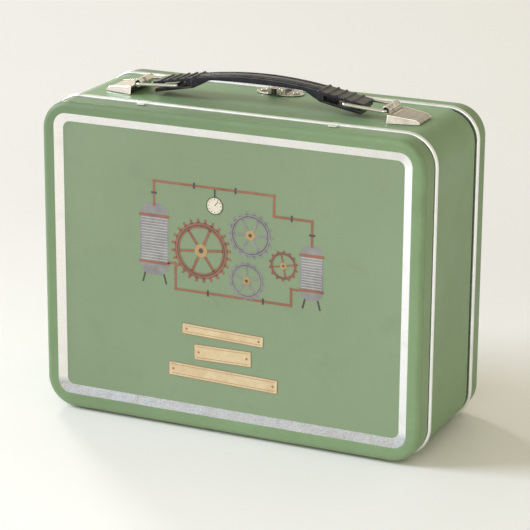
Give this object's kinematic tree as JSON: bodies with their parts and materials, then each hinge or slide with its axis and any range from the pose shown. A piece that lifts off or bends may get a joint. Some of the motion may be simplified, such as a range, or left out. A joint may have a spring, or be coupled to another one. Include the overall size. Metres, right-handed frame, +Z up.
{
  "type": "metal lunch box",
  "caption": "Sheet steel lunch box with an opening rear pan on bottom hinges, a top latch, and a plastic handle that folds down on wire bails.",
  "frame": {"origin": "centre of the box's bounding box, on the surface it stands on", "axes": "+X along the width, -Y is the printed front, +Z up; the rear pan opens towards +Y"},
  "size_m": [0.2218, 0.0908, 0.189],
  "materials": {
    "green_paint": "satin enamel",
    "bare_steel": "satin",
    "nickel_plate": "aged satin",
    "bright_wire": "bright",
    "black_plastic": "semi-gloss"
  },
  "bodies": {
    "shell": {"centre_band": "green_paint", "front_pan": "green_paint", "front_rim": "bare_steel", "rim_tab_upper_left": "bare_steel", "rim_tab_upper_right": "bare_steel", "rim_tab_lower_left": "bare_steel", "rim_tab_lower_right": "bare_steel", "left_hinge_band_leaf": "bare_steel", "right_hinge_band_leaf": "bare_steel", "left_hinge_pin": "bare_steel", "right_hinge_pin": "bare_steel", "left_hinge_band_rivet_a": "bare_steel", "left_hinge_band_rivet_b": "bare_steel", "right_hinge_band_rivet_a": "bare_steel", "right_hinge_band_rivet_b": "bare_steel", "left_handle_clip": "nickel_plate", "right_handle_clip": "nickel_plate", "latch_base": "nickel_plate", "latch_rivet_left": "nickel_plate", "latch_rivet_right": "nickel_plate", "latch_pin": "bare_steel"},
    "cover": {"rear_pan": "green_paint", "rear_rim": "bare_steel", "rear_rim_lower": "bare_steel", "left_hinge_cover_leaf": "bare_steel", "right_hinge_cover_leaf": "bare_steel", "left_hinge_cover_rivet_a": "bare_steel", "left_hinge_cover_rivet_b": "bare_steel", "right_hinge_cover_rivet_a": "bare_steel", "right_hinge_cover_rivet_b": "bare_steel"},
    "handle": {"handle_grip": "black_plastic"},
    "left_bail_wire": {"left_bail": "bright_wire"},
    "right_bail_wire": {"right_bail": "bright_wire"},
    "lever": {"latch_lever": "nickel_plate"}
  },
  "joints": [
    {"name": "cover_hinge", "type": "hinge", "parent": "shell", "child": "cover", "pos_m": [0, 0.0309, 0.002], "axis": [-1, 0, 0], "range_deg": [0, 105]},
    {"name": "latch_lift", "type": "hinge", "parent": "shell", "child": "lever", "pos_m": [0, 0.0164, 0.1768], "axis": [1, 0, 0], "range_deg": [0, 100]},
    {"name": "handle_lift", "type": "slide", "parent": "shell", "child": "handle", "axis": [0, 0, 1], "range_m": [0, 0.014]},
    {"name": "left_bail_swing", "type": "hinge", "parent": "shell", "child": "left_bail_wire", "pos_m": [-0.0684, -0.005, 0.1793], "axis": [0, -1, 0], "range_deg": [0, 35.3]},
    {"name": "right_bail_swing", "type": "hinge", "parent": "shell", "child": "right_bail_wire", "pos_m": [0.0746, -0.005, 0.1793], "axis": [0, 1, 0], "range_deg": [0, 35.3]}
  ],
  "couplings": [
    {"joint": "left_bail_swing", "follows": "handle_lift", "rad_per_m": 43.2},
    {"joint": "right_bail_swing", "follows": "handle_lift", "rad_per_m": 43.2}
  ]
}
